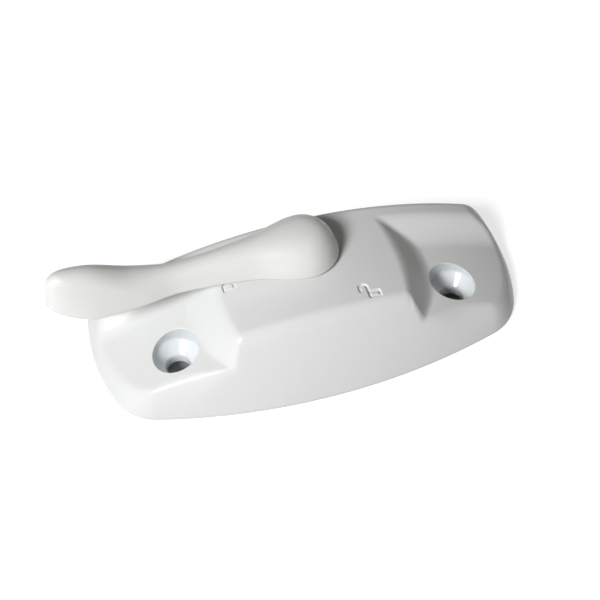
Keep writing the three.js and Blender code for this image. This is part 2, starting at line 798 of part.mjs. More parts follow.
function lockWasher() {
  const high = lockWasherLow + lockWasherThickness;
  const ring = washer(lockWasherRadius, screwThreadRadius + runGap, lockWasherLow, high, smallSides);
  const half = lockWasherSlit / 2;
  const slitFront = pivotSetback - lockWasherRadius - cutOver;
  const slitLow = lockWasherLow - cutOver;
  return ring.subtract(block(-half, half, slitFront, pivotSetback, slitLow, high + cutOver));
}

function retainingScrew() {
  const headHigh = screwHeadLow + screwHeadHeight;
  const threadHigh = camLow + seatGap + screwThreadDepth;
  const shoulder = screwHeadLow + screwHeadHeight / 2;
  const profile = [
    [0, screwHeadLow],
    [screwCrownRadius, screwHeadLow],
    [screwHeadRadius, shoulder],
    [screwHeadRadius, headHigh],
    [screwThreadRadius, headHigh],
    [screwThreadRadius, threadHigh],
    [0, threadHigh],
  ];
  const body = turned(0, pivotSetback, profile, smallSides);
  const half = screwCrossLength / 2;
  const wide = screwCrossWidth / 2;
  const low = screwHeadLow - cutOver;
  const high = screwHeadLow + screwCrossDepth;
  const one = block(-half, half, pivotSetback - wide, pivotSetback + wide, low, high);
  const other = block(-wide, wide, pivotSetback - half, pivotSetback + half, low, high);
  return body.subtract(one).subtract(other);
}

const sashLock = new THREE.Group();
sashLock.add(
  piece("housing", housing(), paintWhite, 0.25, 0),
  piece("lever", lever(), leverWhite, 0.3, 0),
  piece("spindle", spindle(), zincGrey, 0.4, 1),
  piece("pivot_bush", pivotBush(), acetalWhite, 0.5, 0),
  piece("thrust_washer", thrustWasher(), acetalWhite, 0.5, 0),
  piece("detent_collar", detentCollar(), zincGrey, 0.45, 1),
  piece("detent_spring", detentSpring(), springSteel, 0.35, 1),
  piece("cam", cam(), zincGrey, 0.45, 1),
  piece("retaining_washer", plainWasher(), springSteel, 0.35, 1),
  piece("lock_washer", lockWasher(), springSteel, 0.35, 1),
  piece("retaining_screw", retainingScrew(), springSteel, 0.35, 1),
);

// The origin goes under the middle of the bounding box
const lowX = -Math.max(leverReach, housingLength / 2);
const highX = Math.max(hubRadius, housingLength / 2);
const highY = Math.max(rearReach, pivotSetback + camReach);
sashLock.position.set(-(lowX + highX) / 2, -(highY - frontReach) / 2, 0);

export default sashLock;
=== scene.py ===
"""Looks of the sash lock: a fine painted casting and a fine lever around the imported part.

Lengths are in millimetres about the middle of the line of screw holes, with +Z up and +Y towards the
keeper, unless a heading says otherwise. Meshes are written in metres in the part's own frame.
"""
import math

import bpy
import numpy as np
from mathutils import Matrix, Vector, geometry


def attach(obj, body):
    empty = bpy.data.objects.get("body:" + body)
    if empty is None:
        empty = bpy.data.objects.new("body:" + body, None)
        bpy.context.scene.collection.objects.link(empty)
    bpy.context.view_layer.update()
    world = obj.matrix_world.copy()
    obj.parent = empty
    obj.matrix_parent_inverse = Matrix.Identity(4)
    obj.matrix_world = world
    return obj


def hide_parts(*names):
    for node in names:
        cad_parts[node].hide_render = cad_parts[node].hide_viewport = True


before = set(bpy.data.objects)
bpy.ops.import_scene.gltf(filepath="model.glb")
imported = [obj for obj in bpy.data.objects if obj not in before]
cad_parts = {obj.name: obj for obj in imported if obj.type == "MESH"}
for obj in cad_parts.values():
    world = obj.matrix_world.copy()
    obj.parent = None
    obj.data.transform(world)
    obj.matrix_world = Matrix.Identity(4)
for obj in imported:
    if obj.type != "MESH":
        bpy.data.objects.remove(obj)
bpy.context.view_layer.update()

MM = 0.001
UP = np.array([0.0, 0.0, 1.0])
REARWARD = (0.0, 1.0, 0.0)

# Housing: plan, height and walls
HOLE_SPACING = 52.4
HOUSING_LENGTH = 81.4
FRONT_REACH = 12.5
REAR_REACH = 17.35
FRONT_RADIUS = 116.0
END_RADIUS = 38.0
END_CROWN_SETBACK = 10.9
CORNER_RADIUS = 9.5
HOUSING_HEIGHT = 16.3
ARCH_RADIUS = 92.0
BASE_LAND = 0.6
FRONT_DRAFT = math.radians(13)
END_DRAFT = math.radians(21)
WALL_BULGE_RADIUS = 52.0

# Housing: lowered pads, and the soft edges between pads, step, top and walls
PAD_DEPTH = 4.2
PAD_TILT = math.tan(math.radians(4))
RAMP_START = 9.8
RAMP_END = 13.4
STEP_TOP_X, STEP_TOP_Y, STEP_TOP_RADIUS = 17.0, 5.0, 40.0
STEP_FOOT_X, STEP_FOOT_Y, STEP_FOOT_RADIUS = 22.3, 6.0, 19.5
MIDDLE_EDGE_BLEND = 3.0
PAD_EDGE_BLEND = 5.0
END_EDGE_BLEND = 1.6
STEP_EDGE_BLEND = 1.3
STEP_EDGE_SHARE = 0.35
STEP_TOP_BLEND = 0.9
STEP_FOOT_BLEND = 1.1
RAMP_BLEND = 1.6
REAR_EDGE_RADIUS = 1.6

# Holes in the housing
SCREW_HOLE_RADIUS = 2.3
SINK_RADIUS = 4.3
SINK_DEPTH = 2.2
SINK_HALF_ANGLE = math.radians(41)
SINK_SOFTNESS = 0.3
SINK_SOFT_POWER = 1.6
SINK_SOFT_SHARES = (0.25, 0.5, 0.75, 1.0)
CONE_SHARES = (0.3, 0.6, 0.9)
BORE_LENGTH = 2.0
BORE_EDGE_DROP = 0.12
BORE_EDGE_LEAN = 0.4
BORE_STRAIGHT_DROP = 0.6
RELIEF_RADIUS = 3.9
RIM_RADIUS = 0.15
PIVOT_Y = 8.5
SPOT_RADIUS = 6.0
CAM_REACH = 15.4
SLOT_LEFT, SLOT_RIGHT, SLOT_TOP = -16.0, 10.0, 8.4

# Lever
LEVER_SEAT = HOUSING_HEIGHT + 0.3
LEVER_REACH = 46.2
LEVER_DRAFT = math.radians(16)
SHOULDER = 10.0
LEVER_STATIONS = [
    # distance from the pivot, half width, height
    (0.0, 6.8, 6.4),
    (SHOULDER, 4.2, 5.4),
    (23.0, 3.05, 4.2),
    (LEVER_REACH - 15.8, 4.05, 5.4),
    (LEVER_REACH - 8.8, 4.5, 8.4),
    (LEVER_REACH - 4.3, 4.4, 9.23),
    (LEVER_REACH, 4.4, 9.0),
]
WIDTH_COLUMN, HEIGHT_COLUMN = 1, 2
HUB_FULLNESS = 0.04
LEVER_EDGE_RADIUS = 0.4
TIP_LENGTH = 9.5
TIP_LEAN = 1.0
TIP_ROUND = 2.2
TIP_RISE = 2.6
TIP_RISE_POWER = 1.4
TIP_BLUNTNESS = 2.0
TIP_CLOSING = 0.9995

# Sunk padlock marks, each placed by the middle of its body's lower edge
MARK_WIDTH = 0.5
MARK_DEPTH = 0.4
MARK_FLOOR_SHARE, MARK_EDGE_SHARE = 0.3, 0.75
MARK_BODY_WIDTH, MARK_BODY_HEIGHT = 1.85, 1.15
MARK_SHACKLE_WIDTH, MARK_SHACKLE_HEIGHT = 1.4, 1.75
MARK_SHACKLE_POINTS = 9
MARK_LIFT = 0.45
CLOSED_PLACE = (-14.45, 5.1)
OPEN_PLACE = (9.65, -4.6)

# Points of the casting's mesh; a grid has a start, an end and a spacing each way
OUTLINE_SPACING = 0.5
HOLE_POINTS = 96
SPOT_POINTS = 72
RIM_TURNS = (0.12, 0.3, 0.5, 0.72, 1.0)
WALL_ROW_SPACING = 0.6
WALL_ROW_RISES = [*np.linspace(0.25, 13, 34), 13.6, 14.3, 15.0]
END_ROW_INSETS = (0.35, 0.8, 1.3, 1.8, 2.3, 2.8, 3.3, 3.8, 4.4, 5.0, 5.6)
END_ROWS_FROM = 24.0
LEAST_CORNER_RADIUS = 0.8
REAR_SPAN_POINTS = 46
REAR_ROW_POINTS = 150
REAR_ROW_TURNS = np.linspace(0.04, 1, 10)
GRID_ACROSS, GRID_ALONG = (-40.5, 40.6, 0.5), (-12.5, 17.0, 0.5)
GRID_STAGGER = 0.25
STEP_GRID_ACROSS, STEP_GRID_ALONG = (13.5, 25.5, 0.3), (-9.5, 16.6, 0.4)
MARK_GRID_SPACING = 0.075
MARK_GRID_MARGIN = 0.6
OUTLINE_CLEARANCE = 0.04
REAR_CLEARANCE = 0.003
HOLE_CLEARANCE = 0.5
HOLE_FACE_SHARE = 0.9995
MERGE_DISTANCE = 1e-6
LEAST_AREA = 1e-9

# Normals of the casting's skin: on the outline they are taken a little inside, towards the middle
SLOPE_STEP = 0.004
NORMAL_INSET = 0.03
NORMAL_INSET_AT_REAR = 0.006
MIDDLE_Y = 6.0
SIDEWAYS_SHARE = 0.5
REAR_TOLERANCE = 1e-4

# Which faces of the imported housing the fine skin, band and holes stand in for
INSIDE_SHARP_ANGLE = math.radians(32)
UPRIGHT_LIMIT = 0.03
BAND_LIMIT = 0.08
FACE_MARGIN = 0.02
MARKS_ABOVE = 12.0

# Points of the lever's mesh
EDGE_POINTS = 7
SIDE_SHARES = (0.2, 0.4, 0.6, 0.8)
ROUND_POINTS = 22
NECK_ROWS = 90
GRIP_ROWS = 26
TIP_ROWS = 22
HUB_STEPS = 60

# Edges broken on the small pieces
BREAK_ANGLE = math.radians(35)
BREAK_SEGMENTS = 2

# Materials: sizes of clouds and unevenness in metres or per metre
CLOUD_SCALE = 300.0
CLOUD_DETAIL = 4
CLOUD_LOW, CLOUD_HIGH = 0.3, 0.7
PEEL_SCALE = 900.0
PEEL_DETAIL = 2
PEEL_HEIGHT = 0.0004
COAT_ROUGHNESS = 0.06
GLOW_DEPTH = 0.002
GLOW_SPREAD = (1.0, 0.9, 0.75)

# Camera: where the target shows in the picture is in pixels right of and above its middle
TARGET = (0.0, 0.34, 5.0)
AZIMUTH = math.radians(-15.715)
ELEVATION = math.radians(52.556)
ROLL = math.radians(-1.538)
CAMERA_DISTANCE = 231.76
LENS = 75.72
SENSOR_WIDTH = 36.0
PICTURE_PIXELS = 600
TARGET_PIXELS = (16.26, -24.64)
CLIP_START = 10.0

# Light and floor: the lamp's places and size are in metres in the part's frame
KEY_PLACE = (-0.41, -0.34, 0.47)
KEY_TARGET = (0.0, 0.0, 0.008)
KEY_SIZE = 0.19
KEY_POWER = 4.75
FILL_COLOUR = (1.0, 0.985, 0.94)
FILL_STRENGTH = 0.12
FLOOR_HALF_SIZE = 3.0
FLOOR_GAP = 0.2
FLOOR_GREY = 0.6
FLOOR_ROUGHNESS = 0.9
FLOOR_GLOW = 0.7
# Size of the ellipse under the part where the floor's glow is left out, as painted shade
PAINTED_SHADE_LENGTH, PAINTED_SHADE_DEPTH = 36.0, 12.0
PAINTED_SHADE_EDGE_SHARE = 0.95

# The part's frame has its origin under the middle of the bounding box
SHIFT = np.array([
    (LEVER_REACH - HOUSING_LENGTH / 2) / 2,
    -(PIVOT_Y + CAM_REACH - FRONT_REACH) / 2,
    0.0,
])

SCREW_HOLES_X = (-HOLE_SPACING / 2, HOLE_SPACING / 2)
ROUND_HOLES = [
    # place, radius and number of points
    (SCREW_HOLES_X[0], 0.0, SINK_RADIUS, HOLE_POINTS),
    (SCREW_HOLES_X[1], 0.0, SINK_RADIUS, HOLE_POINTS),
    (0.0, PIVOT_Y, SPOT_RADIUS, SPOT_POINTS),
]


def to_part(points):
    """Points about the line of screw holes, moved to the part's frame and turned into metres."""
    return (np.asarray(points, float) + SHIFT) * MM


def smooth_min(a, b, blend):
    """The lesser of two heights, with the crease between them rounded off."""
    share = np.clip(0.5 + (b - a) / (2 * blend), 0, 1)
    return b + (a - b) * share - blend * share * (1 - share)


def smooth_max(a, b, blend):
    return -smooth_min(-a, -b, blend)


def smoothstep(value, low, high):
    t = np.clip((value - low) / (high - low), 0, 1)
    return t * t * (3 - 2 * t)


def mirrored(points):
    """Plan points on the other side of the middle."""
    return points * np.array([-1, 1])


def ring(x, y, radius, count):
    angle = np.linspace(0, 2 * math.pi, count, endpoint=False)
    return np.stack([x + radius * np.cos(angle), y + radius * np.sin(angle)], -1)


def linked(name, data):
    """A new object in the scene, made of a mesh, a camera or a lamp."""
    obj = bpy.data.objects.new(name, data)
    bpy.context.scene.collection.objects.link(obj)
    return obj


def shade_smooth(mesh):
    mesh.polygons.foreach_set("use_smooth", [True] * len(mesh.polygons))


class Plan:
    """The outline of the housing, or a line at a set distance inside it."""

    def __init__(self, inset=0.0):
        self.front_radius = FRONT_RADIUS - inset
        self.end_radius = END_RADIUS - inset
        self.corner_radius = CORNER_RADIUS - inset
        self.front_centre = np.array([0, FRONT_RADIUS - FRONT_REACH])
        self.end_centre = np.array([HOUSING_LENGTH / 2 - END_RADIUS, END_CROWN_SETBACK])
        to_end = self.end_centre - self.front_centre
        distance = np.hypot(*to_end)
        unit = to_end / distance
        from_front = self.front_radius - self.corner_radius
        from_end = self.end_radius - self.corner_radius
        along = (from_front ** 2 - from_end ** 2 + distance ** 2) / (2 * distance)
        aside = math.sqrt(from_front ** 2 - along ** 2)
        self.corner = self.front_centre + unit * along + np.array([-unit[1], unit[0]]) * aside
        self.front_angle = self.angle(self.corner - self.front_centre)
        self.end_angle = self.angle(self.corner - self.end_centre)

    @staticmethod
    def angle(vector):
        return math.atan2(vector[1], vector[0])

    def right_half(self, spacing):
        """Points from the front middle round the right end to the rear edge."""
        rear_angle = math.asin((REAR_REACH - END_CROWN_SETBACK) / self.end_radius)
        arcs = [
            (self.front_centre, self.front_radius, -math.pi / 2, self.front_angle),
            (self.corner, self.corner_radius, self.front_angle, self.end_angle),
            (self.end_centre, self.end_radius, self.end_angle, rear_angle),
        ]
        points = []
        for centre, radius, low, high in arcs:
            count = max(3, int(abs(high - low) * radius / spacing))
            for angle in np.linspace(low, high, count + 1)[:-1]:
                points.append(centre + radius * np.array([math.cos(angle), math.sin(angle)]))
        last = np.array([math.cos(rear_angle), math.sin(rear_angle)])
        points.append(self.end_centre + self.end_radius * last)
        return np.array(points)


OUTLINE = Plan()


def nearest_edge(x, y):
    """Distance inside the outline, and how far round from front to end the nearest edge is."""
    ax = np.abs(x)
    angle = np.arctan2(y - OUTLINE.corner[1], ax - OUTLINE.corner[0])
    from_corner = OUTLINE.corner_radius - np.hypot(ax - OUTLINE.corner[0], y - OUTLINE.corner[1])
    from_front = OUTLINE.front_radius - np.hypot(x, y - OUTLINE.front_centre[1])
    from_end = OUTLINE.end_radius - np.hypot(ax - OUTLINE.end_centre[0], y - OUTLINE.end_centre[1])
    at_corner = (angle > OUTLINE.front_angle) & (angle < OUTLINE.end_angle)
    round_corner = (angle - OUTLINE.front_angle) / (OUTLINE.end_angle - OUTLINE.front_angle)
    distance = np.where(at_corner, from_corner, np.minimum(from_front, from_end))
    end_share = np.where(at_corner, round_corner, np.where(from_end < from_front, 1.0, 0.0))
    return distance, end_share


def wall_height(x, y):
    """Height of the drafted, slightly bulging wall above a plan point."""
    distance, end_share = nearest_edge(x, y)
    draft = np.tan(FRONT_DRAFT + (END_DRAFT - FRONT_DRAFT) * smoothstep(end_share, 0, 1))
    bulge = 1 / (2 * WALL_BULGE_RADIUS)
    inside = np.maximum(0, distance)
    return BASE_LAND + (np.sqrt(draft ** 2 + 4 * bulge * inside) - draft) / (2 * bulge)


def arch_height(x):
    return HOUSING_HEIGHT - ARCH_RADIUS + np.sqrt(ARCH_RADIUS ** 2 - x ** 2)


def pad_drop(x, y):
    """Depth of the pads below the arch, with the curved step beside them and the ramp behind them."""
    level = PAD_DEPTH - PAD_TILT * y
    ramp = (PAD_DEPTH - PAD_TILT * RAMP_START) * (RAMP_END - y) / (RAMP_END - RAMP_START)
    floor = smooth_min(level, ramp, RAMP_BLEND)
    top_x = STEP_TOP_X - (y - STEP_TOP_Y) ** 2 / (2 * STEP_TOP_RADIUS)
    foot_x = STEP_FOOT_X - (y - STEP_FOOT_Y) ** 2 / (2 * STEP_FOOT_RADIUS)
    step = PAD_DEPTH * (np.abs(x) - top_x) / (foot_x - top_x)
    return smooth_max(smooth_min(floor, step, STEP_FOOT_BLEND), 0, STEP_TOP_BLEND)


def rear_round(y):
    """Drop of the rounded rear edge."""
    near = np.clip(REAR_REACH - y, 0, REAR_EDGE_RADIUS)
    chord = REAR_EDGE_RADIUS ** 2 - (REAR_EDGE_RADIUS - near) ** 2
    return REAR_EDGE_RADIUS - np.sqrt(np.maximum(0, chord))


def mark_lines(place, is_open):
    """Body and shackle of a padlock; the shackle stands on the body or swings out beside it."""
    x, y = place
    left, right = x - MARK_BODY_WIDTH / 2, x + MARK_BODY_WIDTH / 2
    top = y + MARK_BODY_HEIGHT
    reach = MARK_SHACKLE_WIDTH / 2
    middle = left - reach if is_open else x
    crown = top + MARK_SHACKLE_HEIGHT - reach
    shackle = [(middle + reach, top)]
    for angle in np.linspace(0, math.pi, MARK_SHACKLE_POINTS):
        shackle.append((middle + reach * math.cos(angle), crown + reach * math.sin(angle)))
    shackle.append((middle - reach, top + MARK_LIFT if is_open else top))
    return [[(left, y), (right, y), (right, top), (left, top), (left, y)], shackle]


MARKS = [mark_lines(CLOSED_PLACE, False), mark_lines(OPEN_PLACE, True)]


def stroke_distance(x, y, strokes):
    """Distance to the nearest stroke of a mark."""
    nearest = np.full(np.shape(x), np.inf)
    for line in strokes:
        for (ax, ay), (bx, by) in zip(line[:-1], line[1:]):
            dx, dy = bx - ax, by - ay
            along = np.clip(((x - ax) * dx + (y - ay) * dy) / (dx * dx + dy * dy), 0, 1)
            nearest = np.minimum(nearest, np.hypot(x - ax - along * dx, y - ay - along * dy))
    return nearest


def mark_depth(x, y):
    """Depth of the sunk marks, with soft edges."""
    depth = np.zeros(np.shape(x))
    for strokes in MARKS:
        distance = stroke_distance(x, y, strokes)
        away = smoothstep(distance, MARK_FLOOR_SHARE * MARK_WIDTH, MARK_EDGE_SHARE * MARK_WIDTH)
        depth = np.maximum(depth, MARK_DEPTH * (1 - away))
    return depth


def rim_drop(x, y):
    """Drop of the small round rim of the countersinks."""
    drop = np.zeros(np.shape(x))
    for hole_x in SCREW_HOLES_X:
        radius = np.hypot(x - hole_x, y)
        inside = np.clip(SINK_RADIUS + RIM_RADIUS - radius, 0, RIM_RADIUS)
        drop += RIM_RADIUS - np.sqrt(RIM_RADIUS ** 2 - inside ** 2)
    return drop


def casting_height(x, y):
    """Height of the painted casting before the marks and the rims are sunk into it."""
    drop = pad_drop(x, y)
    top = arch_height(x) - drop - rear_round(y)
    on_pad = smoothstep(drop / PAD_DEPTH, 0, STEP_EDGE_SHARE)
    from_step = smoothstep(np.abs(x), STEP_TOP_X, HOLE_SPACING / 2)
    at_end = smoothstep(np.abs(x), HOLE_SPACING / 2, HOUSING_LENGTH / 2)
    pad_blend = STEP_EDGE_BLEND + (PAD_EDGE_BLEND - STEP_EDGE_BLEND) * from_step
    pad_blend = pad_blend + (END_EDGE_BLEND - PAD_EDGE_BLEND) * at_end
    blend = MIDDLE_EDGE_BLEND + (pad_blend - MIDDLE_EDGE_BLEND) * on_pad
    return smooth_min(top, wall_height(x, y), blend)


def skin_height(x, y):
    return casting_height(x, y) - mark_depth(x, y) - rim_drop(x, y)


def slope_normals(x, y):
    slope_x = (skin_height(x + SLOPE_STEP, y) - skin_height(x - SLOPE_STEP, y)) / (2 * SLOPE_STEP)
    slope_y = (skin_height(x, y + SLOPE_STEP) - skin_height(x, y - SLOPE_STEP)) / (2 * SLOPE_STEP)
    normals = np.stack([-slope_x, -slope_y, np.ones(np.shape(x))], -1)
    return normals / np.linalg.norm(normals, axis=-1, keepdims=True)


def skin_normals(x, y):
    """Normals of the skin, where points on the outline take those of points a little inside it."""
    distance, _ = nearest_edge(x, y)
    pull = np.where(distance < NORMAL_INSET, NORMAL_INSET, 0.0)
    inward = np.stack([-x * SIDEWAYS_SHARE, MIDDLE_Y - y], -1)
    inward /= np.linalg.norm(inward, axis=1, keepdims=True)
    inside_y = np.minimum(y + pull * inward[:, 1], REAR_REACH - NORMAL_INSET_AT_REAR)
    normals = slope_normals(x + pull * inward[:, 0], inside_y)
    normals[y > REAR_REACH - REAR_TOLERANCE] = REARWARD
    return normals


def rear_stations():
    """Stations of the rear edge from right to left, with the slot's corners among them."""
    right = OUTLINE.right_half(OUTLINE_SPACING)[-1][0]
    stations = []
    for high, low in [(right, SLOT_RIGHT), (SLOT_RIGHT, SLOT_LEFT), (SLOT_LEFT, -right)]:
        stations.extend(np.linspace(high, low, REAR_SPAN_POINTS)[:-1])
    return np.array(stations + [-right])


def outline_runs():
    """The outline in three runs: round the right end, along the rear edge and round the left end."""
    right = OUTLINE.right_half(OUTLINE_SPACING)
    rear = rear_stations()[1:-1]
    left = mirrored(right)[::-1][:-1]
    return right, np.stack([rear, np.full(len(rear), REAR_REACH)], -1), left


def wall_rows():
    """Rows of points up the front and end walls, and more of them on the ends."""
    rows = []
    for rise in WALL_ROW_RISES:
        inset = math.tan(FRONT_DRAFT) * rise + rise ** 2 / (2 * WALL_BULGE_RADIUS)
        if inset < CORNER_RADIUS - LEAST_CORNER_RADIUS:
            rows.append(Plan(inset).right_half(WALL_ROW_SPACING))
    for inset in END_ROW_INSETS:
        row = Plan(inset).right_half(WALL_ROW_SPACING)
        rows.append(row[row[:, 0] > END_ROWS_FROM])
    both_sides = []
    for row in rows:
        both_sides += [row, mirrored(row)]
    return both_sides


def rear_rows():
    """Rows of points round the rear edge."""
    x = np.linspace(-HOUSING_LENGTH / 2, HOUSING_LENGTH / 2, REAR_ROW_POINTS)
    rows = []
    for turn in REAR_ROW_TURNS:
        y = REAR_REACH - REAR_EDGE_RADIUS * (1 - math.cos(turn * math.pi / 2))
        rows.append(np.stack([x, np.full(len(x), y)], -1))
    return rows


def grid_points(across, along):
    """Points of a plain grid from its start, end and spacing each way."""
    gx, gy = np.meshgrid(np.arange(*across), np.arange(*along))
    return np.stack([gx.ravel(), gy.ravel()], -1)


def surface_grids():
    """A staggered grid over the whole top, and finer ones over the steps and the marks."""
    top = grid_points(GRID_ACROSS, GRID_ALONG)
    top[:, 0] += GRID_STAGGER * (np.round(top[:, 1] / GRID_ALONG[2]) % 2)
    step = grid_points(STEP_GRID_ACROSS, STEP_GRID_ALONG)
    grids = [top, mirrored(step), step]
    for strokes in MARKS:
        ends = np.concatenate([np.array(line) for line in strokes])
        low, high = ends.min(0) - MARK_GRID_MARGIN, ends.max(0) + MARK_GRID_MARGIN
        ways = [(low[i], high[i], MARK_GRID_SPACING) for i in range(2)]
        grids.append(grid_points(*ways))
    return grids


def free_points():
    """Points of the skin between its outline and its holes, and rings round the countersinks' rims."""
    free = np.concatenate(wall_rows() + rear_rows() + surface_grids())
    distance, _ = nearest_edge(free[:, 0], free[:, 1])
    keep = (distance > OUTLINE_CLEARANCE) & (free[:, 1] < REAR_REACH - REAR_CLEARANCE)
    for x, y, radius, _ in ROUND_HOLES:
        keep &= np.hypot(free[:, 0] - x, free[:, 1] - y) > radius + HOLE_CLEARANCE
    rims = []
    for x in SCREW_HOLES_X:
        for turn in RIM_TURNS:
            radius = SINK_RADIUS + RIM_RADIUS * (1 - math.cos(turn * math.pi / 2))
            rims.append(ring(x, 0, radius, HOLE_POINTS))
    return np.concatenate([free[keep]] + rims)


def plan_triangles(points, edges):
    """Triangles of the plan, all the same way round, without those inside the round holes."""
    result = geometry.delaunay_2d_cdt([Vector(p) for p in points], edges, [], 0, MERGE_DISTANCE)
    placed = np.array([tuple(v) for v in result[0]])
    faces = np.array([f for f in result[2] if len(f) == 3])
    middle = placed[faces].mean(1)
    keep = np.ones(len(faces), bool)
    for x, y, radius, _ in ROUND_HOLES:
        keep &= np.hypot(middle[:, 0] - x, middle[:, 1] - y) > radius * HOLE_FACE_SHARE
    faces = faces[keep]
    a, b, c = (placed[faces[:, i]] for i in range(3))
    area = (b[:, 0] - a[:, 0]) * (c[:, 1] - a[:, 1]) - (b[:, 1] - a[:, 1]) * (c[:, 0] - a[:, 0])
    faces = faces[np.abs(area) > LEAST_AREA]
    area = area[np.abs(area) > LEAST_AREA]
    faces[area < 0] = faces[area < 0][:, ::-1]
    return placed, faces


class MeshParts:
    """Collects points, faces, the normal of each face corner and the finish of each face."""

    # SINK faces take the sink paint, whose bluish colour is a painted reflection of the sky
    PAINT, SINK = 0, 1

    def __init__(self):
        self.points = []
        self.faces = []
        self.normals = []
        self.finishes = []
        self.count = 0

    def add(self, points, faces, corner_normals, finish=PAINT):
        self.points.append(np.asarray(points, float))
        for face, normals in zip(faces, corner_normals):
            self.faces.append([self.count + int(i) for i in face])
            self.normals.extend(normals)
        self.finishes += [finish] * len(faces)
        self.count += len(points)

    def build(self, name):
        mesh = bpy.data.meshes.new(name)
        mesh.from_pydata([tuple(p) for p in to_part(np.concatenate(self.points))], [], self.faces)
        shade_smooth(mesh)
        mesh.polygons.foreach_set("material_index", self.finishes)
        mesh.normals_split_custom_set([tuple(n) for n in self.normals])
        mesh.update()
        return linked(name, mesh)


def add_skin(parts):
    """The outer skin: triangles of the plan, lifted to the casting's height."""
    loops = [np.concatenate(outline_runs())] + [ring(*hole) for hole in ROUND_HOLES]
    edges = []
    first = 0
    for loop in loops:
        count = len(loop)
        edges += [(first + i, first + (i + 1) % count) for i in range(count)]
        first += count
    placed, faces = plan_triangles(np.concatenate(loops + [free_points()]), edges)
    x, y = placed.T
    parts.add(np.stack([x, y, skin_height(x, y)], -1), faces, skin_normals(x, y)[faces])


def add_side_band(parts):
    """The low upright band along the front and the ends."""
    right, _, left = outline_runs()
    side = np.concatenate([left, right])
    count = len(side)
    height = skin_height(side[:, 0], side[:, 1])
    tangent = np.gradient(side, axis=0)
    outward = np.stack([tangent[:, 1], -tangent[:, 0], np.zeros(count)], -1)
    outward /= np.linalg.norm(outward, axis=1, keepdims=True)
    points = np.concatenate([np.column_stack([side, height]), np.column_stack([side, np.zeros(count)])])
    faces = [(i, count + i, count + i + 1, i + 1) for i in range(count - 1)]
    parts.add(points, faces, [[outward[f % count] for f in face] for face in faces])


def add_rear_face(parts):
    """The upright rear face, open where the cam's hook swings out of its slot."""
    rear = rear_stations()
    top = skin_height(rear, np.full(len(rear), REAR_REACH))
    points, faces = [], []
    for i in range(len(rear) - 1):
        over_slot = SLOT_LEFT < (rear[i] + rear[i + 1]) / 2 < SLOT_RIGHT
        low = SLOT_TOP if over_slot else 0.0
        base = len(points)
        points += [(rear[i], REAR_REACH, low), (rear[i + 1], REAR_REACH, low),
                   (rear[i + 1], REAR_REACH, top[i + 1]), (rear[i], REAR_REACH, top[i])]
        faces.append((base, base + 1, base + 2, base + 3))
    parts.add(points, faces, [[REARWARD] * 4 for _ in faces])


def sink_profile(x):
    """Radius, height and lean of a screw hole's rings, from under its rim down to the underside."""
    cone_top = float(arch_height(x) - pad_drop(x, 0.0)) - SINK_DEPTH
    cone_low = cone_top - (SINK_RADIUS - SCREW_HOLE_RADIUS) / math.tan(SINK_HALF_ANGLE)
    bore_low = cone_low - BORE_LENGTH
    profile = [(SINK_RADIUS, cone_top + SINK_SOFTNESS, 0.0)]
    for share in SINK_SOFT_SHARES:
        bend = SINK_SOFTNESS * share ** SINK_SOFT_POWER
        radius = SINK_RADIUS - bend * math.sin(SINK_HALF_ANGLE)
        rise = cone_top + SINK_SOFTNESS * (1 - share) - bend * math.cos(SINK_HALF_ANGLE)
        profile.append((radius, rise, share))
    soft_radius, soft_rise, _ = profile[-1]
    for share in CONE_SHARES:
        radius = soft_radius + (SCREW_HOLE_RADIUS - soft_radius) * share
        profile.append((radius, soft_rise + (cone_low - soft_rise) * share, 1.0))
    profile.append((SCREW_HOLE_RADIUS, cone_low - BORE_EDGE_DROP, BORE_EDGE_LEAN))
    profile.append((SCREW_HOLE_RADIUS, cone_low - BORE_STRAIGHT_DROP, 0.0))
    profile.append((SCREW_HOLE_RADIUS, bore_low, 0.0))
    profile.append((RELIEF_RADIUS, bore_low, 0.0))
    profile.append((RELIEF_RADIUS, 0.0, 0.0))
    return profile


def add_screw_hole(parts, x):
    """Countersink and through hole, turned about the hole's own upright axis."""
    rim = ring(x, 0, SINK_RADIUS, HOLE_POINTS)
    inward = np.column_stack([-ring(0, 0, 1.0, HOLE_POINTS), np.zeros(HOLE_POINTS)])
    points = [np.column_stack([rim, skin_height(rim[:, 0], rim[:, 1])])]
    normals = [inward]
    for radius, rise, lean in sink_profile(x):
        tilt = lean * (math.pi / 2 - SINK_HALF_ANGLE)
        points.append(np.column_stack([ring(x, 0, radius, HOLE_POINTS), np.full(HOLE_POINTS, rise)]))
        normals.append(inward * math.cos(tilt) + UP * math.sin(tilt))
    faces = []
    for level in range(len(points) - 1):
        high, low = level * HOLE_POINTS, (level + 1) * HOLE_POINTS
        for i in range(HOLE_POINTS):
            j = (i + 1) % HOLE_POINTS
            faces.append((high + i, high + j, low + j, low + i))
    normals = np.concatenate(normals)
    # The countersink and bore faces take the bluish sink paint, a painted reflection of the sky
    parts.add(np.concatenate(points), faces, [normals[list(face)] for face in faces], MeshParts.SINK)


def stands_outside(place, facing):
    """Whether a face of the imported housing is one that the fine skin, band or holes stand in for."""
    x, y, z = place
    distance = float(nearest_edge(x, y)[0])
    on_skin = facing.z > UPRIGHT_LIMIT and math.hypot(x, y - PIVOT_Y) > SPOT_RADIUS
    at_edge = distance < BAND_LIMIT or y > REAR_REACH - FACE_MARGIN
    on_band = abs(facing.z) < UPRIGHT_LIMIT and at_edge
    near_mark = any(float(stroke_distance(x, y, strokes)) < MARK_WIDTH for strokes in MARKS)
    in_mark = near_mark and z > MARKS_ABOVE
    from_hole = math.hypot(abs(x) - HOLE_SPACING / 2, y)
    in_hole = from_hole < SINK_RADIUS + FACE_MARGIN and z > FACE_MARGIN
    return on_skin or on_band or in_mark or in_hole


